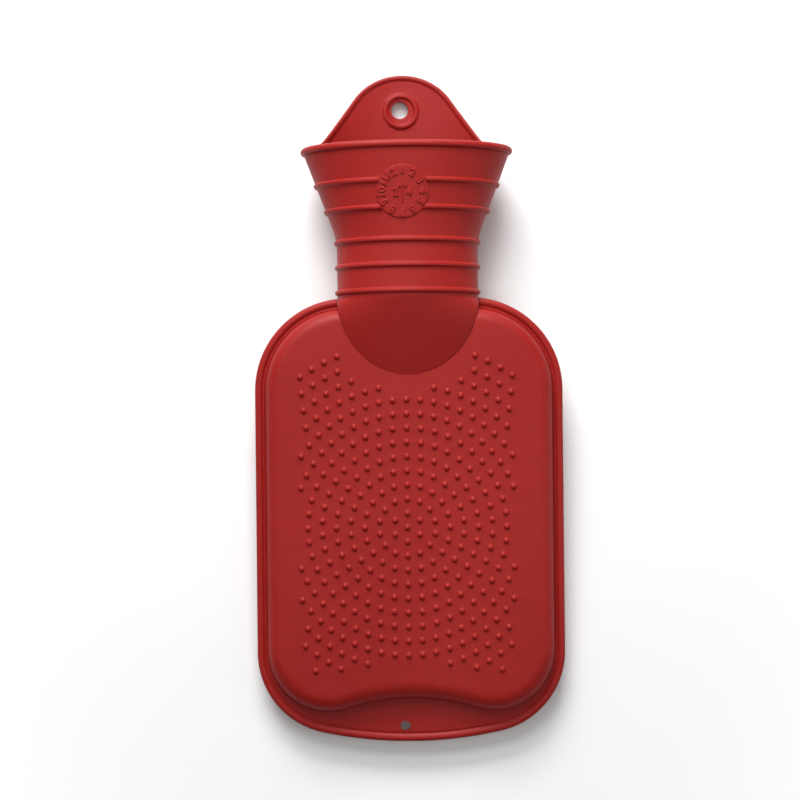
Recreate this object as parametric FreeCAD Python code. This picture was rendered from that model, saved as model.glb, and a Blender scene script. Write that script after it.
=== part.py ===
import FreeCAD, Part
import math
import os

from FreeCAD import Vector

# Moulded rubber hot water bottle that lies on its back, with a screw stopper in its oval funnel.
# It is drawn in the bottle's own frame and laid down at the end. There x runs across,
# y up the neck from the neck's foot, and z out of the front panel, all from the mould's parting plane.
# All sizes are in millimetres.

# Bladder: outline of the seam, seen from the front
body_width = 148.0
body_length = 213.3
shoulder_radius = 44.3
corner_radius = 39.5
bottom_radius = 201.0

# Bladder: section
seam_bead_radius = 2.0
flange_thickness = 2.8
panel_inset = 5.0
panel_depth = 20.0
panel_edge_radius = 7.0
bladder_wall = 2.2

# Bottom flap: the panel ends above it in two round lobes with a shallow arch between them
flap_width = 15.2
lobe_radius = 30.0
arch_rise = 6.0
flap_hole_radius = 2.4
flap_hole_height = 7.6
flap_hole_offset = -3.2

# Studs on the front panel, in rings round one point, out to a margin from the panel's foot and the bib
stud_centre_offset = -1.2
stud_centre_depth = 109.7
stud_spacing = 6.745
stud_rings = 13
stud_pairs_per_ring = 3.17
stud_pairs_at_middle = 0.72
stud_foot_radius = 1.55
stud_top_radius = 0.8
stud_rise = 1.0
stud_sink = 0.6
stud_sides = 6
stud_panel_margin = 18.0
stud_bib_margin = 8.0

# Neck and funnel: oval sections, given by their half widths and half depths
neck_half_width = 33.85
neck_half_depth = 21.0
mouth_half_width = 49.8
mouth_half_depth = 25.8
flare_start = 28.0
lip_height = 69.9
lip_roll = 1.0
lip_width = 4.0
funnel_wall = 3.0
funnel_floor = 32.0
bib_half_width = 33.7
bib_length = 37.2
bib_swell = 5.6
bib_swell_share = 0.3
bib_tip_half_width = 26.0
bib_overrun = 1.15

# Ribs round the neck and funnel
rib_heights = [2.4, 14.4, 26.2, 40.9, 53.4]
rib_width = 2.6
rib_rise = 1.1

# Round dial field on the front of the funnel
dial_radius = 12.4
dial_height = 48.1
dial_offset = -2.2
dial_rise = 0.4

# Hanging tab behind the mouth
tab_height = 112.3
tab_offset = -1.8
tab_top_radius = 28.9
tab_side_angle = 34.5
tab_thickness = 2.2
tab_rim_width = 2.5
tab_rim_rise = 0.7

# Eyelet in the tab, placed from the middle of the tab's top
eyelet_drop = 17.9
eyelet_shift = -0.6
eyelet_radius = 9.0
eyelet_rise = 1.0
eyelet_step_radius = 6.3
eyelet_bore_radius = 4.2
eyelet_bore_shift = 0.6

# Threaded ring moulded into the neck
insert_length = 24.0
insert_radius = 16.4
insert_collar_rise = 1.3
insert_collar_width = 2.4
insert_collars = 3

# Throat between the ring and the bib
throat_radius = 14.5
throat_length = 10.0

# Screw thread of the ring, which is also its bore, and the play that the stopper has in it
thread_pitch = 5.0
thread_minor_radius = 12.6
thread_depth = 1.6
thread_root_overlap = 1.0
thread_groove_width = 1.5
thread_flank_angle = 25.0
thread_clearance = 0.3
stopper_thread_turns = 2.5
stopper_thread_foot = 0.8

# Stopper and its washer
washer_thickness = 2.0
washer_radius = 15.6
washer_play = 0.3
seat_gap = 0.2
flange_radius = 16.0
flange_height = 3.0
flange_chamfer = 0.7
plug_length = 17.0
plug_wall = 2.0
plug_roof = 2.0
wing_width = 25.0
wing_side_angle = 14.0
wing_height = 20.0
wing_root = 1.0
wing_thickness = 4.6
wing_chamfer = 1.0
wing_dish_radius = 8.0
wing_dish_depth = 0.9


def polar(centre, radius, degrees):
    angle = math.radians(degrees)
    return centre + Vector(radius * math.cos(angle), radius * math.sin(angle), 0)


def arc(centre, radius, start, end):
    middle = (start + end) / 2
    points = [polar(centre, radius, degrees) for degrees in (start, middle, end)]
    return Part.Arc(*points).toShape()


def mirrored(edges):
    return [edge.mirror(Vector(0, 0, 0), Vector(1, 0, 0)) for edge in edges]


def joined(edges):
    return Part.Wire(Part.__sortEdges__(edges))


def slab(wire, low, high):
    face = Part.Face(wire)
    face.translate(Vector(0, 0, low))
    return face.extrude(Vector(0, 0, high - low))


def lobe_middle():
    """Centre of the right lobe at the foot of the panel."""
    reach = body_width / 2 - panel_inset - lobe_radius
    return Vector(reach, flap_width + lobe_radius - body_length, 0)


def arch_middle():
    """Centre of the arch between the lobes, and the arch's radius."""
    lobe = lobe_middle()
    above = lobe_radius - arch_rise
    radius = (lobe.x**2 + above**2 - lobe_radius**2) / (2 * arch_rise)
    return Vector(0, lobe.y - above - radius, 0), radius


def lobe_lean():
    """How far past its lowest point the lobe's arc runs before the arch takes over, in degrees."""
    lobe = lobe_middle()
    arch_centre, arch_radius = arch_middle()
    return math.degrees(math.atan2(lobe.x, lobe.y - arch_centre.y))


def shoulder_edges(inset, side_end):
    """Right shoulder and side, down to the height side_end, at a distance inside the silhouette."""
    half = body_width / 2 - inset
    centre = Vector(body_width / 2 - shoulder_radius, -shoulder_radius, 0)
    radius = shoulder_radius - inset
    side = Part.LineSegment(Vector(half, centre.y, 0), Vector(half, side_end, 0))
    return [arc(centre, radius, 0, 90), side.toShape()]


def top_edge(inset):
    reach = body_width / 2 - shoulder_radius
    return Part.LineSegment(Vector(-reach, -inset, 0), Vector(reach, -inset, 0)).toShape()


def seam_outline(inset):
    """Silhouette of the bladder's seam, moved inwards by inset."""
    bottom_centre = Vector(0, bottom_radius - body_length, 0)
    reach = body_width / 2 - corner_radius
    drop = math.sqrt((bottom_radius - corner_radius) ** 2 - reach**2)
    corner_centre = Vector(reach, bottom_centre.y - drop, 0)
    tangent = -math.degrees(math.atan2(drop, reach))
    right = shoulder_edges(inset, corner_centre.y)
    right.append(arc(corner_centre, corner_radius - inset, tangent, 0))
    bottom = arc(bottom_centre, bottom_radius - inset, -180 - tangent, tangent)
    return joined([top_edge(inset), bottom] + right + mirrored(right))


def panel_outline(inset):
    """Foot of the raised panel, moved inwards by inset from the silhouette."""
    grow = inset - panel_inset
    lobe_centre = lobe_middle()
    arch_centre, arch_radius = arch_middle()
    lean = lobe_lean()
    right = shoulder_edges(inset, lobe_centre.y)
    right.append(arc(lobe_centre, lobe_radius - grow, -90 - lean, 0))
    arch = arc(arch_centre, arch_radius + grow, 90 - lean, 90 + lean)
    return joined([top_edge(inset), arch] + right + mirrored(right))


def pillow(inset, depth, edge_radius):
    """Panel body with both its rims rounded."""
    block = slab(panel_outline(inset), -depth / 2, depth / 2)
    rims = [edge for edge in block.Edges if abs(abs(edge.CenterOfMass.z) - depth / 2) < 0.001]
    return block.makeFillet(edge_radius, rims)


def oval(height, half_width, half_depth):
    """Closed oval section across the neck at a height."""
    ellipse = Part.Ellipse(Vector(0, 0, 0), half_width, half_depth).toShape()
    ellipse.rotate(Vector(0, 0, 0), Vector(1, 0, 0), -90)
    ellipse.translate(Vector(0, height, 0))
    return Part.Wire([ellipse])


def oval_tube(sections):
    """Solid through oval sections, each given by its height, half width and half depth."""
    return Part.makeLoft([oval(*section) for section in sections], True, True)


def funnel_half_sizes(height):
    """Half width and half depth of the plain neck and funnel at a height."""
    share = max(0.0, (height - flare_start) / (lip_height - flare_start))
    half_width = neck_half_width + share * (mouth_half_width - neck_half_width)
    half_depth = neck_half_depth + share * (mouth_half_depth - neck_half_depth)
    return half_width, half_depth


def funnel_section(height, rise):
    """Section of the neck or funnel at a height, standing proud of its plain surface by rise."""
    half_width, half_depth = funnel_half_sizes(height)
    return height, half_width + rise, half_depth + rise


def bib_sections(cover):
    """Sections of the bib, inside its surface by cover. It swells sideways under the neck, then tapers."""
    swollen = neck_half_width + bib_swell
    levels = [(bib_overrun, bib_tip_half_width), (bib_swell_share, swollen), (0, neck_half_width)]
    sections = []
    for share, half_width in levels:
        half_depth = neck_half_depth + share * (panel_depth / 2 - neck_half_depth)
        sections.append((-share * bib_length, half_width - cover, half_depth - cover))
    return sections


def ridge_sections(height, width, rise):
    """The four sections of a ridge round the neck or funnel, at its two feet and its two top edges."""
    foot = width / 2
    top = width / 4
    return [funnel_section(height + side * foot, 0) for side in (-1, 1)] + [
        funnel_section(height + side * top, rise) for side in (-1, 1)
    ]


def funnel_outside():
    """Neck, ribs, flare and rolled lip as one oval solid that runs on down into the bib."""
    sections = [funnel_section(flare_start, 0)] + ridge_sections(lip_height, lip_width, lip_roll)
    for rib in rib_heights:
        sections += ridge_sections(rib, rib_width, rib_rise)
    return oval_tube(bib_sections(0) + sorted(sections))


def dial_field():
    """Space of the round field on the funnel's front, and the smooth pad that fills it instead of ribs."""
    foot = Vector(dial_offset, dial_height, neck_half_depth / 2)
    space = Part.makeCylinder(dial_radius, mouth_half_depth, foot)
    cone = oval_tube([funnel_section(height, dial_rise) for height in (flare_start, lip_height)])
    return space, cone.common(space)


def tab_outline(inset):
    """Tab seen from the front: a round top with straight sides that spread down to the lip."""
    centre = Vector(tab_offset, tab_height - tab_top_radius, 0)
    radius = tab_top_radius - inset
    foot = lip_height
    left = polar(centre, radius, 180 - tab_side_angle)
    right = polar(centre, radius, tab_side_angle)
    spread = Vector((right.y - foot) * math.tan(math.radians(tab_side_angle)), foot - right.y, 0)
    corners = [left, Vector(left.x - spread.x, foot, 0), right + spread, right]
    sides = [Part.LineSegment(*pair).toShape() for pair in zip(corners, corners[1:])]
    return joined([arc(centre, radius, tab_side_angle, 180 - tab_side_angle)] + sides)


def back_slab(wire):
    return slab(wire, -2 * mouth_half_depth, 0)


def back_disc(radius, x, y):
    return Part.makeCylinder(radius, 2 * mouth_half_depth, Vector(x, y, -2 * mouth_half_depth))


def tab_sheet(rise):
    """Oval sheet that carries the mouth's back wall straight up, thicker by rise on both faces."""
    low = lip_height - lip_width
    high = tab_height + tab_rim_rise
    faces = []
    for proud in (rise, -tab_thickness - rise):
        sections = [(level, mouth_half_width + proud, mouth_half_depth + proud) for level in (low, high)]
        faces.append(oval_tube(sections))
    outer, inner = faces
    return outer.cut(inner)


def eyelet_place():
    return tab_offset + eyelet_shift, tab_height - eyelet_drop


def hanging_tab():
    """Tab with a raised rim and a ringed, stepped eyelet."""
    whole = back_slab(tab_outline(0))
    sheet = tab_sheet(0).common(whole)
    rim = tab_sheet(tab_rim_rise).common(whole.cut(back_slab(tab_outline(tab_rim_width))))
    x, y = eyelet_place()
    step = back_disc(eyelet_step_radius, x, y)
    ring = tab_sheet(eyelet_rise).common(back_disc(eyelet_radius, x, y).cut(step))
    bore = back_disc(eyelet_bore_radius, x - eyelet_bore_shift, y + eyelet_bore_shift)
    return sheet.fuse([rim, ring]).cut(bore)


def clear_of_edges(across, height):
    """Whether a stud fits at a height, at a distance across from the middle of the studs."""
    half_width = bib_half_width + stud_bib_margin
    length = bib_length + stud_bib_margin
    bib = (across / half_width) ** 2 + (height / length) ** 2
    lobe = lobe_middle()
    lean = math.radians(lobe_lean())
    if across > lobe.x - lobe_radius * math.sin(lean):
        depth = lobe_radius - math.hypot(max(0, across - lobe.x), min(0, height - lobe.y))
    else:
        arch_centre, arch_radius = arch_middle()
        depth = math.hypot(across, height - arch_centre.y) - arch_radius
    return bib > 1 and depth > stud_panel_margin


def stud():
    """One stud as a blunt pyramid, made at the origin."""
    rings = []
    levels = [(stud_foot_radius, -stud_sink), (stud_foot_radius, 0), (stud_top_radius, stud_rise)]
    for radius, level in levels:
        corners = [polar(Vector(0, 0, level), radius, 360 * side / stud_sides) for side in range(stud_sides)]
        rings.append(Part.makePolygon(corners + corners[:1]))
    return Part.makeLoft(rings, True, True)


def studs():
    """Studs in rings, with an even number in each ring and one straight above the middle."""
    one = stud()
    middle = Vector(0, -stud_centre_depth, panel_depth / 2)
    placed = []
    for ring in range(stud_rings + 1):
        count = max(1, 2 * math.floor(ring * stud_pairs_per_ring + stud_pairs_at_middle))
        for number in range(count):
            place = polar(middle, ring * stud_spacing, 90 + 360 * number / count)
            if clear_of_edges(abs(place.x), place.y):
                placed.append(one.translated(place + Vector(stud_centre_offset, 0, 0)))
    return placed


def seam_bead():
    """Round bead that follows the seam all the way round the bladder."""
    spine = seam_outline(seam_bead_radius)
    first = spine.OrderedEdges[0]
    start = first.valueAt(first.FirstParameter)
    profile = Part.Circle(start, first.tangentAt(first.FirstParameter), seam_bead_radius)
    return spine.makePipeShell([Part.Wire([profile.toShape()])], True, True)


def bladder_outside():
    """Panel, flange and seam bead."""
    flange = slab(seam_outline(seam_bead_radius), -flange_thickness / 2, flange_thickness / 2)
    return pillow(panel_inset, panel_depth, panel_edge_radius).fuse([flange, seam_bead()])


def up_the_neck(shape):
    """Turn a shape that was made about the vertical so that it points up the neck."""
    return shape.rotated(Vector(0, 0, 0), Vector(1, 0, 0), -90)


def ring_body():
    """Outside of the threaded ring, with the collars that key it into the rubber."""
    foot = funnel_floor - insert_length
    spacing = (insert_length - insert_collar_width) / (insert_collars - 1)
    collars = []
    for number in range(insert_collars):
        place = Vector(0, 0, foot + number * spacing)
        collars.append(Part.makeCylinder(insert_radius + insert_collar_rise, insert_collar_width, place))
    return Part.makeCylinder(insert_radius, insert_length, Vector(0, 0, foot)).fuse(collars)


def water_space():
    """All that is open inside the rubber: bladder, bib, throat, seat of the ring, and funnel."""
    cover = bladder_wall
    bladder = pillow(panel_inset + cover, panel_depth - 2 * cover, panel_edge_radius - cover)
    bib = oval_tube(bib_sections(cover))
    throat_foot = Vector(0, 0, funnel_floor - insert_length - throat_length)
    throat = Part.makeCylinder(throat_radius, throat_length, throat_foot)
    funnel_ends = (funnel_floor, lip_height + lip_width)
    funnel = oval_tube([funnel_section(height, -funnel_wall) for height in funnel_ends])
    return bladder.fuse([bib, up_the_neck(throat), up_the_neck(ring_body()), funnel])


def bottle():
    """The one-piece rubber moulding."""
    dial_space, dial_pad = dial_field()
    outside = bladder_outside().fuse(funnel_outside()).cut(dial_space).fuse(dial_pad)
    flap_hole = Vector(flap_hole_offset, flap_hole_height - body_length, -seam_bead_radius)
    drill = Part.makeCylinder(flap_hole_radius, 2 * seam_bead_radius, flap_hole)
    return outside.cut(water_space()).cut(drill).fuse([hanging_tab()] + studs())


def thread_helix(foot, turns, clearance):
    """Trapezoid thread ridge that starts at a height; all such ridges lie on one helix."""
    slope = math.tan(math.radians(thread_flank_angle))
    tighten = clearance / math.cos(math.radians(thread_flank_angle))
    root = thread_minor_radius - thread_root_overlap
    crest = thread_minor_radius + thread_depth
    profile = []
    for radius, side in ((root, -1), (crest - clearance, -1), (crest - clearance, 1), (root, 1)):
        half = thread_groove_width / 2 + (crest - radius) * slope - tighten
        profile.append(Vector(radius, 0, side * half))
    helix = Part.makeHelix(thread_pitch, turns * thread_pitch, thread_minor_radius)
    ridge = Part.Wire(helix).makePipeShell([Part.makePolygon(profile + profile[:1])], True, True)
    ridge.rotate(Vector(0, 0, 0), Vector(0, 0, 1), 360 * foot / thread_pitch)
    ridge.translate(Vector(0, 0, foot))
    return ridge


def neck_insert():
    """Threaded ring: its bore is the thread's minor diameter, and the groove runs out at both ends."""
    foot = funnel_floor - insert_length
    groove = thread_helix(foot - thread_pitch, insert_length / thread_pitch + 2, 0)
    bore_length = insert_length + 2 * thread_root_overlap
    bore = Part.makeCylinder(thread_minor_radius, bore_length, Vector(0, 0, foot - thread_root_overlap))
    return ring_body().cut(groove).cut(bore)


def stopper_washer():
    foot = funnel_floor + seat_gap
    hole_radius = thread_minor_radius - thread_clearance + washer_play
    disc = Part.makeCylinder(washer_radius, washer_thickness, Vector(0, 0, foot))
    return disc.cut(Part.makeCylinder(hole_radius, washer_thickness, Vector(0, 0, foot)))


def wing():
    """Flat grip with a round top, sides that close in downwards and a shallow thumb dish on each face."""
    radius = wing_width / 2
    centre = Vector(0, wing_height - radius, 0)
    right = polar(centre, radius, -wing_side_angle)
    foot = right.x - (right.y + wing_root) * math.tan(math.radians(wing_side_angle))
    left = Vector(-right.x, right.y, 0)
    corners = [right, Vector(foot, -wing_root, 0), Vector(-foot, -wing_root, 0), left]
    sides = [Part.LineSegment(*pair).toShape() for pair in zip(corners, corners[1:])]
    crown = arc(centre, radius, -wing_side_angle, 180 + wing_side_angle)
    plate = slab(joined([crown] + sides), -wing_thickness / 2, wing_thickness / 2)
    rims = [edge for edge in plate.Edges if edge.BoundBox.ZLength < 0.001 and edge.BoundBox.YMax > 0]
    plate = plate.makeChamfer(wing_chamfer, rims)
    ball_radius = (wing_dish_radius**2 + wing_dish_depth**2) / (2 * wing_dish_depth)
    for side in (-1, 1):
        ball_depth = side * (wing_thickness / 2 - wing_dish_depth + ball_radius)
        plate = plate.cut(Part.makeSphere(ball_radius, centre + Vector(0, 0, ball_depth)))
    return plate.rotated(Vector(0, 0, 0), Vector(1, 0, 0), 90)


def stopper():
    """Hollow threaded plug, flange and wing, made as one moulding."""
    flange_foot = funnel_floor + washer_thickness + 2 * seat_gap
    plug_foot = flange_foot - plug_length
    core_radius = thread_minor_radius - thread_clearance
    plug = Part.makeCylinder(core_radius, plug_length + flange_height / 2, Vector(0, 0, plug_foot))
    hollow = Part.makeCylinder(core_radius - plug_wall, plug_length - plug_roof, Vector(0, 0, plug_foot))
    flange = Part.makeCylinder(flange_radius, flange_height, Vector(0, 0, flange_foot))
    rims = [edge for edge in flange.Edges if edge.Curve.TypeId == "Part::GeomCircle"]
    flange = flange.makeChamfer(flange_chamfer, rims)
    ridge = thread_helix(plug_foot + stopper_thread_foot, stopper_thread_turns, thread_clearance)
    grip = wing()
    grip.translate(Vector(0, 0, flange_foot + flange_height))
    return plug.fuse([ridge, flange, grip]).cut(hollow)


def rest_tilt():
    """Angle that lays the back of the lip and the round lower edge of the back panel on one plane."""
    lip_level = lip_height + lip_width / 4
    lip_depth = funnel_half_sizes(lip_level)[1] + lip_roll
    edge_level = flap_width - body_length + panel_edge_radius
    edge_depth = panel_depth / 2 - panel_edge_radius
    length = lip_level - edge_level
    fall = lip_depth - edge_depth
    reach = math.hypot(length, fall)
    return math.degrees(math.atan2(fall, length) - math.asin(panel_edge_radius / reach))


def laid_down(shapes):
    """Lay the bottle on its back, with the middle of its length over the origin and its foot at zero."""
    laid = {}
    for name, shape in shapes.items():
        laid[name] = shape.rotated(Vector(0, 0, 0), Vector(1, 0, 0), rest_tilt())
    box = laid["bottle"].optimalBoundingBox(False, False)
    shift = Vector(0, -(box.YMin + box.YMax) / 2, -box.ZMin)
    return {name: shape.translated(shift) for name, shape in laid.items()}


def main():
    nodes = {
        "bottle": bottle(),
        "neck_insert": up_the_neck(neck_insert()),
        "stopper_washer": up_the_neck(stopper_washer()),
        "stopper": up_the_neck(stopper()),
    }
    os.makedirs("parts", exist_ok=True)
    for name, shape in laid_down(nodes).items():
        shape.exportStep("parts/" + name + ".step")
        print(name, shape.isValid(), len(shape.Solids), round(shape.Volume))


main()
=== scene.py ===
import math

import bmesh
import bpy
from mathutils import Matrix, Vector
from mathutils.geometry import delaunay_2d_cdt


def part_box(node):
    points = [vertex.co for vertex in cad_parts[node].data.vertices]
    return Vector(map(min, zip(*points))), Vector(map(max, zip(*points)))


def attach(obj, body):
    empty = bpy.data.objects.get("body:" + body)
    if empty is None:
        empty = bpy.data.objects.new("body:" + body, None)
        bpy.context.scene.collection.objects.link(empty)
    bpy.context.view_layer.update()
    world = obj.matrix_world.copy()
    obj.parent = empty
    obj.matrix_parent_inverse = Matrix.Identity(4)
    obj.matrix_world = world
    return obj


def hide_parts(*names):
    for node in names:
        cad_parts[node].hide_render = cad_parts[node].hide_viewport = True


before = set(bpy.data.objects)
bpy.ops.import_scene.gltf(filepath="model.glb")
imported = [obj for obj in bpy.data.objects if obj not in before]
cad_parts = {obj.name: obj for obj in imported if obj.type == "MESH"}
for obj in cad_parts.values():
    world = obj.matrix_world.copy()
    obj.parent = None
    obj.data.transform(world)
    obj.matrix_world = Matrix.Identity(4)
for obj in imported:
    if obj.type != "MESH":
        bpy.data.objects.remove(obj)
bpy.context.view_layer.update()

# The bottle is built in its own frame, in millimetres: x across, y up the neck from its foot,
# z out of the front panel. The neck's threaded ring tells where that frame lies in the model.
MILLIMETRE = 0.001
RING_MIDDLE = 20.0
REST_TILT = math.radians(3.6907)
ring_low, ring_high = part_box("neck_insert")
ring_centre = (ring_low + ring_high) / 2
OWN_TO_ROW = (
    Matrix.Translation(ring_centre)
    @ Matrix.Rotation(REST_TILT, 4, "X")
    @ Matrix.Scale(MILLIMETRE, 4)
    @ Matrix.Translation((0, -RING_MIDDLE, 0))
)

# Bladder outline, as in the model
HALF_WIDTH = 74.0
LENGTH = 213.3
SHOULDER_R = 44.3
CORNER_R = 39.5
BOTTOM_R = 201.0
LOBE_R = 30.0
PANEL_INSET = 5.0
FLAP_WIDTH = 15.2
ARCH_RISE = 6.0

# Points along half an outline. Corner and bottom together have as many as lobe and arch.
TOP_STEPS, SHOULDER_STEPS, SIDE_STEPS = 24, 48, 60
CORNER_STEPS, BOTTOM_STEPS = 40, 40
LOBE_STEPS, ARCH_STEPS = 48, 32

# Bladder section. Insets are measured inwards from the outline, and heights from the seam.
PANEL_Z = 10.0
FLANGE_Z = 1.4
FLANGE_LOW = FLANGE_Z - 0.02
BEAD_R = 2.0
TOP_INSET = 12.5
ROLL_INSET, ROLL_R = 12.0, 6.6
ROLL_DEGREES = range(9, 88, 6)
BEAD_DEGREES = range(30, 181, 15)

# Rows at the panel's foot: inset, height, and rise of the thin ridge round the panel
FOOT_ROWS = (
    (5.38, 2.4, 0),
    (5.3, 1.85, 0),
    (5.2, 1.6, 0.05),
    (5.05, 1.42, 0.3),
    (4.85, FLANGE_Z, 0.42),
    (4.65, FLANGE_LOW, 0.2),
)
# Rows across the flange, as shares of the way from the foot to the groove
FLANGE_SHARES = (0.06, 0.16, 0.3, 0.45, 0.6, 0.75, 0.88, 0.96)
FLANGE_FALL = 0.15
RIDGE_LEFT = 0.2
# Rows of the groove inside the bead: inset and height
GROOVE_ROWS = ((4.45, 1.2), (4.2, 1.0), (3.95, 0.95))
# The ridge ends between these levels, and the roll along the bottom is wider below the next ones
RIDGE_END, RIDGE_FULL = -180, -160
WIDE_START, WIDE_FULL = -168, -186
PANEL_FOOT = 5.4
BOTTOM_ROLL = 1.4

# Neck and funnel
NECK_A, NECK_B = 33.85, 21.0
MOUTH_A, MOUTH_B = 49.8, 25.8
FLARE_Y, FLARE_BLEND = 28.0, 6.0
WALL = 3.0
FLOOR_Y, FLOOR_FILLET = 32.0, 0.6
RING_R = 16.5
RING_FOOT_Y = 7.6
FUNNEL_SIDES = 192
FUNNEL_LEVELS = (0.0, 8.4, 20.3, 33.5, 37.0, 47.0, 60.0, 64.0, 66.0, 67.4)
INNER_LEVELS = (66.0, 60.0, 52.0, 44.0, 38.0, 34.0, 33.0, FLOOR_Y + 0.3)

# Lip: a bead with a thin groove under it, whose rows are level and rise
LIP_Y, LIP_R, LIP_INSET = 70.0, 1.9, 0.8
LIP_GROOVE = ((68.0, 0.0), (68.3, -0.08), (68.5, -0.2))
LIP_DEGREES = range(-42, 231, 12)

# Ribs: middle levels, half width and rise, and where across a rib the rows lie
RIB_Y = (2.4, 14.4, 26.2, 40.9, 53.4)
RIB_HALF = 1.3
RIB_RISE = 1.1
RIB_TOP, RIB_EDGE = 0.35, 1.15
RIB_SHARES = (1.3, 1.1, 0.95, 0.8, 0.65, 0.5, 0.35, 0.15)

# Bib: its section runs plainly between the tip and the top levels
BIB_A, BIB_L = 33.7, 37.2
BIB_START, BIB_END, BIB_STEP = -BIB_L * 1.15, -0.4, 1.25
BIB_TIP_Y, BIB_TOP_Y = -BIB_L * 0.93, -12.0
BIB_TIP_TAPER = 0.55
BIB_LEAST_REACH = 0.05

# Dial
DIAL_X, DIAL_Y, DIAL_R = -2.2, 48.1, 12.4
DIAL_RISE = 0.4
PAD_DEPTH, SPACE_DEPTH, SPACE_TOP = -1.9, -1.0, 60.0
SPACE_RADII = (4, 8, DIAL_R)
PAD_RADII = (1.5, 3, 4.5, 6, 7.5, 9, 10.5, 11.3, DIAL_R - 0.5)
PAD_EDGE = (
    (DIAL_R - 0.25, DIAL_RISE - 0.03),
    (DIAL_R - 0.08, DIAL_RISE - 0.12),
    (DIAL_R, DIAL_RISE - 0.3),
)
DISC_SIDES = 96

# Dial marks: the letters' half thickness, rounded edge and outline offset, and the arrow
MARK_THICKNESS, MARK_ROUND, MARK_OFFSET = 0.12, 0.34, -0.04
NUMBER_SIZE, NUMBER_RADIUS = 4.9, 9.7
DIGIT_SIZE = 5.2
DIGITS = (("2", -3.0, -0.4), ("4", 3.1, -0.4))
ARROW_SHAFT, ARROW_WING, ARROW_TIP, ARROW_BARB, ARROW_NECK = 0.2, 1.8, 5.0, 2.6, 2.3
ARROW_BARB_DEPTH, ARROW_BARB_OUT = 0.9, 0.1
ARROW_SLOPE, ARROW_FOOT, ARROW_TOP = 0.4, -0.1, 0.45

# Tab: a curved sheet behind the funnel, with a bead along its edge
TAB_X, TAB_TOP, TAB_R, TAB_ANGLE = -1.8, 112.3, 28.9, math.radians(34.5)
TAB_T = 2.2
TAB_FOOT, TAB_FOOT_SLOPE = 69.2, 0.3
TAB_FLARE_Y, TAB_FLARE_REACH, TAB_FLARE = 79, 6, 0.06
TAB_HALF_MAX = 44.5
TAB_SIDE_STEPS, TAB_ARC_STEPS = 30, 60
# Rows of the bead: inset from the tab's edge and rise
TAB_BEAD = (
    (0.0, -0.5), (0.12, 0.05), (0.45, 0.45), (0.95, 0.68), (1.4, 0.7),
    (1.85, 0.6), (2.3, 0.35), (2.6, 0.1), (2.9, 0.0), (3.3, 0.0),
)
# Points inside the sheet, which keep its curve
GRID_ROWS, GRID_STEP, GRID_START, GRID_INSET = 14, 3.0, 2, 4.5
GRID_NEAR, GRID_MARGIN, GRID_LEAST, GRID_EYE_R = 1.6, 1.0, 2, 11

# Eyelet: rows of radius and rise, first round its ring and then into the bore
EYE_X, EYE_Y, EYE_SIDES = -2.4, 94.4, 48
EYE_RING = (
    (9.6, 0.0), (9.25, 0.05), (8.95, 0.35), (8.5, 0.8), (8.0, 1.0), (7.3, 1.0),
    (6.8, 0.8), (6.45, 0.4), (6.2, 0.08), (5.9, 0.0), (5.1, 0.0),
)
BORE_X, BORE_Y, BORE_R = -3.0, 95.0, 4.2
BORE_RIM = ((BORE_R + 0.35, 0.0), (BORE_R + 0.1, -0.1), (BORE_R, -0.35))

# Hole in the bottom flap
HOLE_X, HOLE_Y, HOLE_REACH = -3.2, 7.6 - LENGTH, 4.0
HOLE_RADII = (1, 2.4)

# Studs: rings round a middle, with the number in each ring from a slope and a start
STUD_X, STUD_Y, STUD_PITCH, STUD_RINGS = -1.23, -109.7, 6.745, 13
STUD_SLOPE, STUD_START = 3.17, 0.72
STUD_R, STUD_H, STUD_SIDES = 1.5, 1.0, 12
STUD_PANEL_MARGIN, STUD_BIB_MARGIN = 18.0, 8.0
# Rows of a stud, as shares of its radius and height
STUD_FOOT = 1.30
STUD_ROWS = ((1.10, 0.03), (0.93, 0.22), (0.74, 0.55), (0.48, 0.83), (0.22, 0.97))

# Angles at which an edge gets a crease, where two forms meet and anywhere
MEETING_CREASE, ANY_CREASE = math.radians(4), math.radians(55)
MERGE_DISTANCE = 1e-5


def smooth(low, high, value):
    t = min(1.0, max(0.0, (value - low) / (high - low)))
    return t * t * (3 - 2 * t)


def arc(cx, cy, r, start, end, count):
    angles = [start + i * (end - start) / count for i in range(count)]
    return [(cx + r * math.cos(angle), cy + r * math.sin(angle)) for angle in angles]


def circle(x, y, r, count):
    angles = [2 * math.pi * i / count for i in range(count)]
    return [(x + r * math.cos(angle), y + r * math.sin(angle)) for angle in angles]


def line(x0, y0, x1, y1, count):
    return [(x0 + (x1 - x0) * i / count, y0 + (y1 - y0) * i / count) for i in range(count)]


def blend(one, two, share):
    return [(ax + (bx - ax) * share, ay + (by - ay) * share) for (ax, ay), (bx, by) in zip(one, two)]


def closed(half, last):
    """Whole loop from its right half, which runs from the top to the point last at the bottom."""
    right = half + [last]
    return right + [(-x, y) for x, y in right[-2:0:-1]]


def shoulder(inset, side_end):
    """Top, shoulder and side, which the outlines of the seam and of the panel share."""
    reach = HALF_WIDTH - SHOULDER_R
    side = HALF_WIDTH - inset
    return (
        line(0, -inset, reach, -inset, TOP_STEPS)
        + arc(reach, -SHOULDER_R, SHOULDER_R - inset, math.pi / 2, 0, SHOULDER_STEPS)
        + line(side, -SHOULDER_R, side, side_end, SIDE_STEPS)
    )


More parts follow.
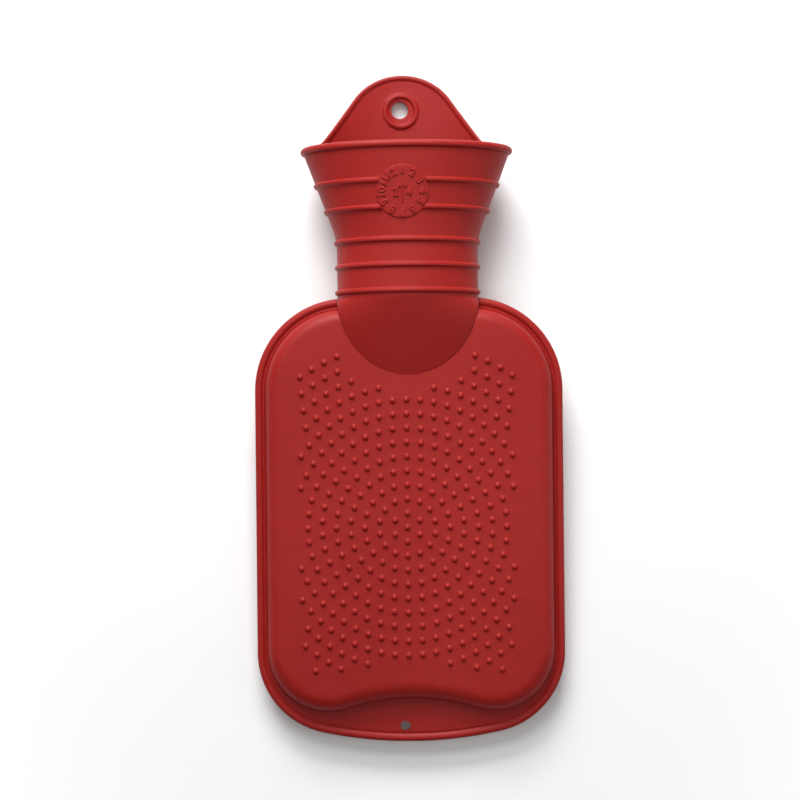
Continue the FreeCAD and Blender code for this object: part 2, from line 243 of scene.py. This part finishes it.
def seam_loop(inset):
    """Outline of the whole bladder, moved inwards."""
    centre_y = BOTTOM_R - LENGTH
    reach = HALF_WIDTH - CORNER_R
    drop = math.sqrt((BOTTOM_R - CORNER_R) ** 2 - reach**2)
    tangent = -math.atan2(drop, reach)
    half = shoulder(inset, centre_y - drop)
    half += arc(reach, centre_y - drop, CORNER_R - inset, 0, tangent, CORNER_STEPS)
    half += arc(0, centre_y, BOTTOM_R - inset, tangent, -math.pi / 2, BOTTOM_STEPS)
    return closed(half, (0, inset - LENGTH))


# The panel's outline has a lobe at each lower corner and an arch between them
LOBE_X = HALF_WIDTH - PANEL_INSET - LOBE_R
LOBE_Y = FLAP_WIDTH + LOBE_R - LENGTH
ABOVE = LOBE_R - ARCH_RISE
ARCH_R = (LOBE_X**2 + ABOVE**2 - LOBE_R**2) / (2 * ARCH_RISE)
ARCH_Y = LOBE_Y - ABOVE - ARCH_R
LEAN = math.atan2(LOBE_X, ARCH_R + ABOVE)


def panel_loop(inset):
    """Outline of the panel, moved inwards."""
    grow = inset - PANEL_INSET
    half = shoulder(inset, LOBE_Y)
    half += arc(LOBE_X, LOBE_Y, LOBE_R - grow, 0, -math.pi / 2 - LEAN, LOBE_STEPS)
    half += arc(0, ARCH_Y, ARCH_R + grow, math.pi / 2 - LEAN, math.pi / 2, ARCH_STEPS)
    return closed(half, (0, ARCH_Y + ARCH_R + grow))


def join(bm, low, high):
    """Quads between two rings of vertices."""
    for i in range(len(low)):
        j = (i + 1) % len(low)
        bm.faces.new((low[i], low[j], high[j], high[i]))


def add_rows(bm, rows, below=None):
    """Closed rings of points, each joined to the next, and the first to the ring below."""
    rings = [[bm.verts.new(point) for point in row] for row in rows]
    if below:
        rings.insert(0, below)
    for low, high in zip(rings, rings[1:]):
        join(bm, low, high)
    return rings


def cap(bm, ring, centre):
    """Fan that closes a ring."""
    middle = bm.verts.new(centre)
    for i in range(len(ring)):
        bm.faces.new((ring[i], ring[(i + 1) % len(ring)], middle))


def fill(bm, rim, rings, extra=()):
    """Skin inside the rim by way of the extra vertices, left open inside each of the rings."""
    verts = list(rim)
    owner = [None] * len(rim)
    edges = [(i, (i + 1) % len(rim)) for i in range(len(rim))]
    for number, ring in enumerate(rings):
        first = len(verts)
        edges += [(first + i, first + (i + 1) % len(ring)) for i in range(len(ring))]
        verts += ring
        owner += [number] * len(ring)
    verts += extra
    owner += [None] * len(extra)
    points = [Vector((v.co.x, v.co.y)) for v in verts]
    _, _, faces, origin, _, _ = delaunay_2d_cdt(points, edges, [], 1, MERGE_DISTANCE)
    for face in faces:
        ids = [origin[i][0] for i in face]
        owners = {owner[i] for i in ids}
        if None in owners or len(owners) > 1:
            bm.faces.new([verts[i] for i in ids])


# The forms that are joined into the bottle. Each keeps its own material while they are joined,
# so that the creases can be put where two of them meet.
FORMS = ("bladder", "funnel", "dial_space", "dial_pad", "tab", "flap_drill")
form_materials = [bpy.data.materials.new("form_" + form) for form in FORMS]


def new_object(name, data):
    obj = bpy.data.objects.new(name, data)
    bpy.context.scene.collection.objects.link(obj)
    return obj


def to_form(bm, name):
    """Object of one of the forms, with that form's material on all its faces."""
    bmesh.ops.recalc_face_normals(bm, faces=bm.faces)
    for face in bm.faces:
        face.material_index = FORMS.index(name)
    mesh = bpy.data.meshes.new(name)
    bm.to_mesh(mesh)
    bm.free()
    for material in form_materials:
        mesh.materials.append(material)
    return new_object(name, mesh)


def stud_centres():
    """Middles of the studs, on rings and clear of the panel's edge and the bib."""
    centres = []
    for ring in range(STUD_RINGS + 1):
        count = max(1, 2 * math.floor(STUD_SLOPE * ring + STUD_START))
        for i in range(count):
            angle = math.pi / 2 + 2 * math.pi * i / count
            across = ring * STUD_PITCH * math.cos(angle)
            y = STUD_Y + ring * STUD_PITCH * math.sin(angle)
            bib = (across / (BIB_A + STUD_BIB_MARGIN)) ** 2 + (y / (BIB_L + STUD_BIB_MARGIN)) ** 2
            if abs(across) > LOBE_X - LOBE_R * math.sin(LEAN):
                depth = LOBE_R - math.hypot(max(0, abs(across) - LOBE_X), min(0, y - LOBE_Y))
            else:
                depth = math.hypot(across, y - ARCH_Y) - ARCH_R
            if bib > 1 and depth > STUD_PANEL_MARGIN:
                centres.append((STUD_X + across, y))
    return centres


def stud_row(x, y, share, rise):
    ring = circle(x, y, STUD_R * share, STUD_SIDES)
    return [(px, py, PANEL_Z + rise * STUD_H) for px, py in ring]


def studded_front(bm, rim):
    """Flat front of the panel inside its rim, with the studs moulded on it."""
    centres = stud_centres()
    feet = [[bm.verts.new(point) for point in stud_row(x, y, STUD_FOOT, 0.0)] for x, y in centres]
    fill(bm, rim, feet)
    for (x, y), foot in zip(centres, feet):
        rings = add_rows(bm, [stud_row(x, y, share, rise) for share, rise in STUD_ROWS], foot)
        cap(bm, rings[-1], (x, y, PANEL_Z + STUD_H))


def panel_row(inset):
    """Outline of the panel, moved further inwards along the bottom, where the roll is wider."""
    plain = panel_loop(inset)
    wide = panel_loop(PANEL_FOOT + (inset - PANEL_FOOT) * BOTTOM_ROLL)
    row = []
    for (px, py), (wx, wy) in zip(plain, wide):
        share = smooth(WIDE_START, WIDE_FULL, py)
        row.append((px + (wx - px) * share, py + (wy - py) * share))
    return row


def bladder_section():
    """Rows of one side, from the flat of the panel out to the silhouette: loop, height and ridge."""
    section = [(panel_row(TOP_INSET), PANEL_Z, 0)]
    for degrees in ROLL_DEGREES:
        angle = math.radians(degrees)
        height = PANEL_Z - ROLL_R * (1 - math.cos(angle))
        section.append((panel_row(ROLL_INSET - ROLL_R * math.sin(angle)), height, 0))
    section += [(panel_row(inset), height, ridge) for inset, height, ridge in FOOT_ROWS]
    foot, groove = panel_loop(FOOT_ROWS[-1][0]), seam_loop(GROOVE_ROWS[0][0])
    for share in FLANGE_SHARES:
        height = FLANGE_LOW - FLANGE_FALL * share**3
        section.append((blend(foot, groove, share), height, RIDGE_LEFT * (1 - share) ** 8))
    section += [(seam_loop(inset), height, 0) for inset, height in GROOVE_ROWS]
    for degrees in BEAD_DEGREES:
        angle = math.radians(degrees)
        section.append((seam_loop(BEAD_R + BEAD_R * math.cos(angle)), BEAD_R * math.sin(angle), 0))
    return section


def bladder():
    """Panels, flange and seam bead: the same section on both sides, with the studs on the front."""
    section = bladder_section()
    rows = []
    for side in (1, -1):
        half = []
        for loop, height, ridge in section:
            rises = [ridge * smooth(RIDGE_END, RIDGE_FULL, y) for _, y in loop]
            half.append([(x, y, side * (height + rise)) for (x, y), rise in zip(loop, rises)])
        rows += half if side > 0 else half[-2::-1]
    bm = bmesh.new()
    rings = add_rows(bm, rows)
    studded_front(bm, rings[0])
    bm.faces.new(rings[-1])
    return to_form(bm, "bladder")


def funnel_halves(y):
    """Half width and half depth of the plain neck and funnel."""
    past = y - FLARE_Y
    if abs(past) < FLARE_BLEND:
        run = (past + FLARE_BLEND) ** 2 / (4 * FLARE_BLEND)
    else:
        run = max(0.0, past)
    share = run / (LIP_Y - FLARE_Y)
    return NECK_A + share * (MOUTH_A - NECK_A), NECK_B + share * (MOUTH_B - NECK_B)


def rib_rise(y):
    return max(RIB_RISE * (1 - smooth(RIB_TOP, RIB_EDGE, abs(y - rib) / RIB_HALF)) for rib in RIB_Y)


def bib_depth(y):
    return NECK_B + (NECK_B - PANEL_Z) * y / BIB_L


def bib_halves(y):
    """Section of the bib: its surface meets the panel in a half ellipse."""
    at = min(max(y, BIB_TIP_Y), BIB_TOP_Y)
    half = BIB_A * math.sqrt(1 - (at / BIB_L) ** 2) / math.sqrt(1 - (PANEL_Z / bib_depth(at)) ** 2)
    if y > BIB_TOP_Y:
        half = NECK_A + (half - NECK_A) * (1 - (1 - y / BIB_TOP_Y) ** 2)
    if y < BIB_TIP_Y:
        half -= (BIB_TIP_Y - y) * BIB_TIP_TAPER
    return half, bib_depth(y)


def ellipse(y, a, b, reach=100.0):
    """Elliptic section across the neck, flattened at the sides where it would pass the reach."""
    unit = circle(0, 0, 1, FUNNEL_SIDES)
    return [(min(reach, max(-reach, a * cos)), y, b * sin) for cos, sin in unit]


def bib_rows():
    rows = []
    y = BIB_START
    while y < BIB_END:
        reach = NECK_A * math.sqrt(max(BIB_LEAST_REACH, 1 - (y / BIB_L) ** 2))
        rows.append(ellipse(y, *bib_halves(y), reach))
        y += BIB_STEP
    return rows


def funnel_row(y, out, section_y=None):
    """Section at y, moved out. It can have the size that the funnel has at another level."""
    a, b = funnel_halves(y if section_y is None else section_y)
    return ellipse(y, a + out, b + out)


def neck_rows():
    levels = set(FUNNEL_LEVELS)
    for rib in RIB_Y:
        for share in RIB_SHARES:
            levels |= {round(rib - share * RIB_HALF, 3), round(rib + share * RIB_HALF, 3)}
    levels |= {FLARE_Y - FLARE_BLEND + step for step in range(int(2 * FLARE_BLEND) + 1)}
    return [funnel_row(y, rib_rise(y)) for y in sorted(levels)]


def lip_rows():
    rows = [funnel_row(y, rise) for y, rise in LIP_GROOVE]
    for degrees in LIP_DEGREES:
        angle = math.radians(degrees)
        out = LIP_R * math.cos(angle) - LIP_INSET
        rows.append(funnel_row(LIP_Y + LIP_R * math.sin(angle), out, LIP_Y))
    return rows


def funnel():
    """Bib, neck and funnel, open at the top down to the bore of the threaded ring."""
    rows = bib_rows() + neck_rows() + lip_rows()
    rows += [funnel_row(y, -WALL) for y in INNER_LEVELS]
    rows.append(funnel_row(FLOOR_Y, -WALL - FLOOR_FILLET))
    rows += [ellipse(y, RING_R, RING_R) for y in (FLOOR_Y, RING_FOOT_Y)]
    bm = bmesh.new()
    rings = add_rows(bm, rows)
    cap(bm, rings[0], (0, BIB_START, 0))
    cap(bm, rings[-1], (0, RING_FOOT_Y, 0))
    return to_form(bm, "funnel")


def funnel_front(x, y, rise):
    """Height of the funnel's front face, moved out by the rise."""
    a, b = funnel_halves(y)
    return (b + rise) * math.sqrt(max(0.0, 1 - (x / (a + rise)) ** 2))


def level(x, y, rise):
    """Height of a flat face at the rise."""
    return rise


def disc_form(name, x, y, rows, depth, top, foot):
    """Disc along z. Its rows are radius and rise, and top and foot give the heights of its faces."""
    loops = []
    for r, rise in rows:
        ring = circle(x, y, r, DISC_SIDES)
        loops.append([(px, py, top(px, py, rise)) for px, py in ring])
    loops.append([(px, py, foot(px, py, depth)) for px, py, _ in loops[-1]])
    bm = bmesh.new()
    rings = add_rows(bm, loops)
    cap(bm, rings[0], (x, y, top(x, y, rows[0][1])))
    cap(bm, rings[-1], (x, y, foot(x, y, depth)))
    return to_form(bm, name)


def dial_space():
    rows = [(r, SPACE_TOP) for r in SPACE_RADII]
    return disc_form("dial_space", DIAL_X, DIAL_Y, rows, SPACE_DEPTH, level, funnel_front)


def dial_pad():
    rows = [(r, DIAL_RISE) for r in PAD_RADII] + list(PAD_EDGE)
    return disc_form("dial_pad", DIAL_X, DIAL_Y, rows, PAD_DEPTH, funnel_front, funnel_front)


def flap_drill():
    rows = [(r, HOLE_REACH) for r in HOLE_RADII]
    return disc_form("flap_drill", HOLE_X, HOLE_Y, rows, -HOLE_REACH, level, level)


def tab_edge(inset):
    """Tab's edge, moved inwards: right side, top, left side and foot."""
    r = TAB_R - inset
    centre_y = TAB_TOP - TAB_R
    start_x, start_y = r * math.cos(TAB_ANGLE), centre_y + r * math.sin(TAB_ANGLE)
    foot = TAB_FOOT + TAB_FOOT_SLOPE * inset
    side = []
    for i in range(TAB_SIDE_STEPS):
        y = foot + (start_y - foot) * i / TAB_SIDE_STEPS
        x = start_x + (start_y - y) * math.tan(TAB_ANGLE)
        flare = TAB_FLARE * min(max(0.0, TAB_FLARE_Y - y), TAB_FLARE_REACH) ** 2
        side.append((min(x + flare, TAB_HALF_MAX), y))
    top = []
    for i in range(TAB_ARC_STEPS + 1):
        angle = TAB_ANGLE + (math.pi - 2 * TAB_ANGLE) * i / TAB_ARC_STEPS
        top.append((r * math.cos(angle), centre_y + r * math.sin(angle)))
    left = [(-x, y) for x, y in side[::-1]]
    end = side[0][0]
    bottom = line(-end, foot, end, foot, TAB_ARC_STEPS)[1:]
    return [(TAB_X + x, y) for x, y in side + top + left + bottom]


def tab_grid():
    inner = tab_edge(GRID_INSET)
    points = []
    for row in range(GRID_ROWS):
        y = TAB_FOOT + GRID_START + GRID_STEP * row
        across = [x - TAB_X for x, edge_y in inner if abs(edge_y - y) < GRID_NEAR]
        reach = max(across, default=0) - GRID_MARGIN
        x = -reach
        while x <= reach and reach > GRID_LEAST:
            if math.hypot(x + TAB_X - EYE_X, y - EYE_Y) > GRID_EYE_R:
                points.append((TAB_X + x, y))
            x += GRID_STEP
    return points


def tab_point(side, x, y, rise):
    """Point of the tab's curved sheet, raised from its back (side 1) or its front (side -1)."""
    out = rise if side > 0 else -TAB_T - rise
    a, b = MOUTH_A + out, MOUTH_B + out
    return (x, y, -b * math.sqrt(max(0.0, 1 - (x / a) ** 2)))


def tab_side(bm, side):
    """One side of the tab, with its bead and eyelet. Gives back its edge and its bore."""
    bead_rows = [[tab_point(side, x, y, rise) for x, y in tab_edge(inset)] for inset, rise in TAB_BEAD]
    eye_rows = []
    for centre_x, centre_y, profile in ((EYE_X, EYE_Y, EYE_RING), (BORE_X, BORE_Y, BORE_RIM)):
        for r, rise in profile:
            ring = circle(centre_x, centre_y, r, EYE_SIDES)
            eye_rows.append([tab_point(side, x, y, rise) for x, y in ring])
    bead_rings = add_rows(bm, bead_rows)
    eye_rings = add_rows(bm, eye_rows)
    extra = [bm.verts.new(tab_point(side, x, y, 0.0)) for x, y in tab_grid()]
    fill(bm, bead_rings[-1], [eye_rings[0]], extra)
    return bead_rings[0], eye_rings[-1]


def tab():
    bm = bmesh.new()
    back_loops, front_loops = tab_side(bm, 1), tab_side(bm, -1)
    for back, front in zip(back_loops, front_loops):
        join(bm, back, front)
    return to_form(bm, "tab")


def boolean(target, tool, operation):
    modifier = target.modifiers.new("cut", "BOOLEAN")
    modifier.operation = operation
    modifier.object = tool
    modifier.solver = "MANIFOLD"
    modifier.material_mode = "INDEX"
    graph = bpy.context.evaluated_depsgraph_get()
    mesh = bpy.data.meshes.new_from_object(target.evaluated_get(graph))
    target.modifiers.clear()
    old = target.data
    target.data = mesh
    bpy.data.meshes.remove(old)
    bpy.data.objects.remove(tool)


def finish_edges(mesh):
    """Smooth shading, with a crease only at sharp edges and where two of the forms meet."""
    bm = bmesh.new()
    bm.from_mesh(mesh)
    for edge in bm.edges:
        if len(edge.link_faces) == 2:
            one, two = edge.link_faces
            meets = one.material_index != two.material_index
            limit = MEETING_CREASE if meets else ANY_CREASE
            edge.smooth = edge.calc_face_angle(0.0) <= limit
    for face in bm.faces:
        face.smooth = True
        face.material_index = 0
    bm.to_mesh(mesh)
    bm.free()
    mesh.materials.clear()


bottle = funnel()
boolean(bottle, dial_space(), "DIFFERENCE")
boolean(bottle, dial_pad(), "UNION")
boolean(bottle, tab(), "UNION")
boolean(bottle, bladder(), "UNION")
boolean(bottle, flap_drill(), "DIFFERENCE")
bottle.name = "bottle_rubber"
finish_edges(bottle.data)
bottle.data.transform(OWN_TO_ROW)


def text_mesh(body, size):
    """Raised letters with rounded edges, centred on their own middle."""
    curve = bpy.data.curves.new("mark", "FONT")
    curve.body = body
    curve.size = size
    curve.extrude = MARK_THICKNESS
    curve.offset = MARK_OFFSET
    curve.bevel_depth = MARK_ROUND
    curve.bevel_resolution = 2
    curve.resolution_u = 4
    obj = new_object("mark", curve)
    graph = bpy.context.evaluated_depsgraph_get()
    mesh = bpy.data.meshes.new_from_object(obj.evaluated_get(graph))
    bpy.data.objects.remove(obj)
    xs = [v.co.x for v in mesh.vertices]
    ys = [v.co.y for v in mesh.vertices]
    middle = Vector((min(xs) + max(xs), min(ys) + max(ys), 0)) / 2
    mesh.transform(Matrix.Translation(-middle))
    return mesh


def arrow_outline(grow):
    shaft, wing, tip = ARROW_SHAFT + grow, ARROW_WING + grow, ARROW_TIP + grow
    barb = ARROW_BARB - grow
    right = [(shaft, -tip), (shaft, barb), (wing, barb - ARROW_BARB_DEPTH)]
    right.append((wing + ARROW_BARB_OUT, ARROW_NECK))
    return [(-shaft, -tip)] + right + [(0, tip)] + [(-x, y) for x, y in right[:0:-1]]


def arrow_mesh():
    """Arrow that points up the neck, with sloped sides."""
    bm = bmesh.new()
    low = [bm.verts.new((x, y, ARROW_FOOT)) for x, y in arrow_outline(ARROW_SLOPE)]
    high = [bm.verts.new((x, y, ARROW_TOP)) for x, y in arrow_outline(0.0)]
    bm.faces.new(high)
    bm.faces.new(low[::-1])
    join(bm, low, high)
    bm.normal_update()
    bmesh.ops.triangulate(bm, faces=bm.faces)
    mesh = bpy.data.meshes.new("arrow")
    bm.to_mesh(mesh)
    bm.free()
    return mesh


def dial_marks():
    """Numbers 1 to 12 round the dial, and the arrow with its two digits at the middle."""
    placed = []
    for number in range(12):
        turn = -2 * math.pi * number / 12
        angle = math.pi / 2 + turn
        x, y = NUMBER_RADIUS * math.cos(angle), NUMBER_RADIUS * math.sin(angle)
        placed.append((text_mesh(str(number + 1), NUMBER_SIZE), x, y, turn))
    placed += [(text_mesh(digit, DIGIT_SIZE), x, y, 0) for digit, x, y in DIGITS]
    placed.append((arrow_mesh(), 0, 0, 0))
    bm = bmesh.new()
    for mesh, x, y, turn in placed:
        mesh.transform(Matrix.Rotation(turn, 4, "Z"))
        for v in mesh.vertices:
            px, py = DIAL_X + x + v.co.x, DIAL_Y + y + v.co.y
            v.co = (px, py, funnel_front(px, py, DIAL_RISE) + v.co.z)
        bm.from_mesh(mesh)
        bpy.data.meshes.remove(mesh)
    mesh = bpy.data.meshes.new("dial_marks")
    bm.to_mesh(mesh)
    bm.free()
    mesh.transform(OWN_TO_ROW)
    return new_object("dial_marks", mesh)


marks = dial_marks()


# Part of a noise's range that its colours and values are spread over
RAMP_START, RAMP_END = 0.35, 0.65
SPREAD_START, SPREAD_END = 0.3, 0.7


class Nodes:
    """Short way to write the nodes of a material or of the world."""

    def __init__(self, owner):
        owner.use_nodes = True
        self.owner = owner
        self.tree = owner.node_tree

    def put(self, node, output, values):
        """Give a node's inputs their values or links, and give back one of its outputs."""
        for socket, value in values.items():
            if isinstance(value, bpy.types.NodeSocket):
                self.tree.links.new(value, node.inputs[socket])
            else:
                node.inputs[socket].default_value = value
        return node.outputs[output]

    def coords(self):
        return self.tree.nodes.new("ShaderNodeTexCoord").outputs["Object"]

    def noise(self, scale, detail, roughness=0.5):
        node = self.tree.nodes.new("ShaderNodeTexNoise")
        values = {"Vector": self.coords(), "Scale": scale, "Detail": detail, "Roughness": roughness}
        return self.put(node, "Fac", values)

    def ramp(self, value, low, high):
        node = self.tree.nodes.new("ShaderNodeValToRGB")
        start, end = node.color_ramp.elements
        start.position, end.position = RAMP_START, RAMP_END
        start.color, end.color = (*low, 1), (*high, 1)
        return self.put(node, "Color", {"Fac": value})

    def spread(self, value, low, high, start=SPREAD_START, end=SPREAD_END, easing="LINEAR"):
        node = self.tree.nodes.new("ShaderNodeMapRange")
        node.interpolation_type = easing
        ends = {"From Min": start, "From Max": end, "To Min": low, "To Max": high}
        return self.put(node, "Result", {"Value": value, **ends})

    def multiply_colours(self, one, two, share):
        node = self.tree.nodes.new("ShaderNodeMix")
        node.data_type = "RGBA"
        node.blend_type = "MULTIPLY"
        return self.put(node, "Result", {"Factor": share, "A": one, "B": two})

    def calculate(self, operation, one, two):
        node = self.tree.nodes.new("ShaderNodeMath")
        node.operation = operation
        return self.put(node, "Value", {0: one, 1: two})

    def distance(self):
        """Distance from the middle of the model."""
        node = self.tree.nodes.new("ShaderNodeVectorMath")
        node.operation = "LENGTH"
        return self.put(node, "Value", {0: self.coords()})

    def either_ray(self, one, two):
        """1 on rays of either kind, and 0 on the rest."""
        path = self.tree.nodes.new("ShaderNodeLightPath")
        return self.calculate("MAXIMUM", path.outputs[one], path.outputs[two])

    def bump(self, height, strength, distance, **normal):
        node = self.tree.nodes.new("ShaderNodeBump")
        values = {"Strength": strength, "Distance": distance, "Height": height, **normal}
        return self.put(node, "Normal", values)

    def shade(self, values):
        self.put(self.tree.nodes["Principled BSDF"], "BSDF", values)
        return self.owner


def rubber():
    n = Nodes(bpy.data.materials.new("bottle_rubber"))
    broad = n.ramp(n.noise(scale=14, detail=3), RED_LOW, RED_HIGH)
    fine = n.ramp(n.noise(scale=420, detail=4, roughness=0.6), SPECK_LOW, SPECK_HIGH)
    grain = n.bump(n.noise(scale=2600, detail=3), strength=0.12, distance=0.0003)
    waves = n.bump(n.noise(scale=60, detail=2), strength=0.05, distance=0.002, Normal=grain)
    return n.shade({
        "Base Color": n.multiply_colours(broad, fine, share=0.5),
        "Roughness": n.spread(n.noise(scale=55, detail=4), low=0.44, high=0.54),
        "Normal": waves,
        "Specular IOR Level": 0.22,
    })


def plastic(name, colours, roughness, grain):
    n = Nodes(bpy.data.materials.new(name))
    patches = n.noise(scale=240, detail=4)
    return n.shade({
        "Base Color": n.ramp(n.noise(scale=90, detail=3), *colours),
        "Roughness": n.spread(patches, low=roughness - 0.04, high=roughness + 0.05),
        "Normal": n.bump(n.noise(scale=1500, detail=3), strength=grain, distance=0.0004),
    })


# Colours, each from its darker to its lighter patches
RED_LOW, RED_HIGH = (0.315, 0.0110, 0.0088), (0.345, 0.0140, 0.0108)
SPECK_LOW, SPECK_HIGH = (0.84, 0.84, 0.84), (1.0, 1.0, 1.0)
OFF_WHITE = (0.60, 0.57, 0.50), (0.66, 0.63, 0.56)
BLACK = (0.020, 0.020, 0.021), (0.027, 0.027, 0.028)
DEEP_BLACK = (0.012, 0.012, 0.012), (0.02, 0.02, 0.02)
red_rubber = rubber()
bottle.data.materials.append(red_rubber)
marks.data.materials.append(red_rubber)
node_materials = {
    "bottle": red_rubber,
    "neck_insert": plastic("insert_plastic", OFF_WHITE, roughness=0.42, grain=0.06),
    "stopper": plastic("stopper_plastic", BLACK, roughness=0.42, grain=0.08),
    "stopper_washer": plastic("washer_rubber", DEEP_BLACK, roughness=0.6, grain=0.2),
}
for node, material in node_materials.items():
    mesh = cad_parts[node].data
    mesh.materials.clear()
    mesh.materials.append(material)

for piece in (bottle, marks):
    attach(piece, "bottle")
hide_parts("bottle")


def to_row(x, y, z):
    return OWN_TO_ROW @ Vector((x, y, z))


# Camera: looks square at the front panel from 0.7 m, turned a little as the photograph is
CAMERA_PLACE = (-4.26, -49.1, 700)
CAMERA_LENS, CAMERA_SENSOR = 65.46, 36
ROLL = 0.0103
camera = new_object("camera", bpy.data.cameras.new("camera"))
camera.data.lens = CAMERA_LENS
camera.data.sensor_width = CAMERA_SENSOR
axes = Matrix(((1, ROLL, 0), (-ROLL, 1, 0), (0, 0, 1))).to_4x4()
place = Matrix.Translation(to_row(*CAMERA_PLACE))
camera.matrix_world = place @ Matrix.Rotation(REST_TILT, 4, "X") @ axes
bpy.context.scene.camera = camera

# Lights: name, place in the bottle's frame, size in metres and watts
LIGHTS = (
    ("key_low", (-150, 1010, 563), (0.7, 0.35), 16.3),
    ("key_high", (-150, 721, 919), (0.7, 0.35), 5.5),
    ("front", (0, -50, 1600), (1.4, 1.4), 6.6),
    ("left", (-700, -150, 450), (0.3, 0.7), 0.5),
    ("right", (700, -150, 450), (0.3, 0.7), 1.0),
)
LIGHT_TARGET = (0, -50, 0)
for name, place, size, power in LIGHTS:
    light = new_object(name, bpy.data.lights.new(name, "AREA"))
    light.data.shape = "RECTANGLE"
    light.data.size, light.data.size_y = size
    light.data.energy = power
    light.location = to_row(*place)
    direction = to_row(*LIGHT_TARGET) - light.location
    light.rotation_euler = direction.to_track_quat("-Z", "Y").to_euler()

# World: white where it is seen, and a faint fill light elsewhere
WHITE = (1, 1, 1, 1)
WORLD_FILL = 0.05
studio = Nodes(bpy.data.worlds.new("studio"))
bpy.context.scene.world = studio.owner
seen = studio.either_ray("Is Camera Ray", "Is Transmission Ray")
strength = studio.spread(seen, WORLD_FILL, 1.0, 0, 1)
back = studio.tree.nodes["Background"]
back.inputs["Color"].default_value = WHITE
studio.tree.links.new(strength, back.inputs["Strength"])

# Floor: pale, and white further away where it is seen
FLOOR_HALF = 3.0
FLOOR_COLOUR = (0.92, 0.92, 0.92, 1)
FADE_START, FADE_END, FADE_LEAST = 0.15, 0.75, 0.02


def floor():
    corners = [(x * FLOOR_HALF, y * FLOOR_HALF, 0) for x, y in ((-1, -1), (1, -1), (1, 1), (-1, 1))]
    mesh = bpy.data.meshes.new("floor")
    mesh.from_pydata(corners, [], [(0, 1, 2, 3)])
    obj = new_object("floor", mesh)
    n = Nodes(bpy.data.materials.new("floor"))
    seen = n.either_ray("Is Camera Ray", "Is Glossy Ray")
    fade = n.spread(n.distance(), FADE_LEAST, 1.0, FADE_START, FADE_END, "SMOOTHSTEP")
    mesh.materials.append(n.shade({
        "Base Color": FLOOR_COLOUR,
        "Roughness": 0.9,
        "Emission Color": WHITE,
        "Emission Strength": n.calculate("MULTIPLY", seen, fade),
    }))


floor()
bpy.context.scene.view_settings.view_transform = "Standard"
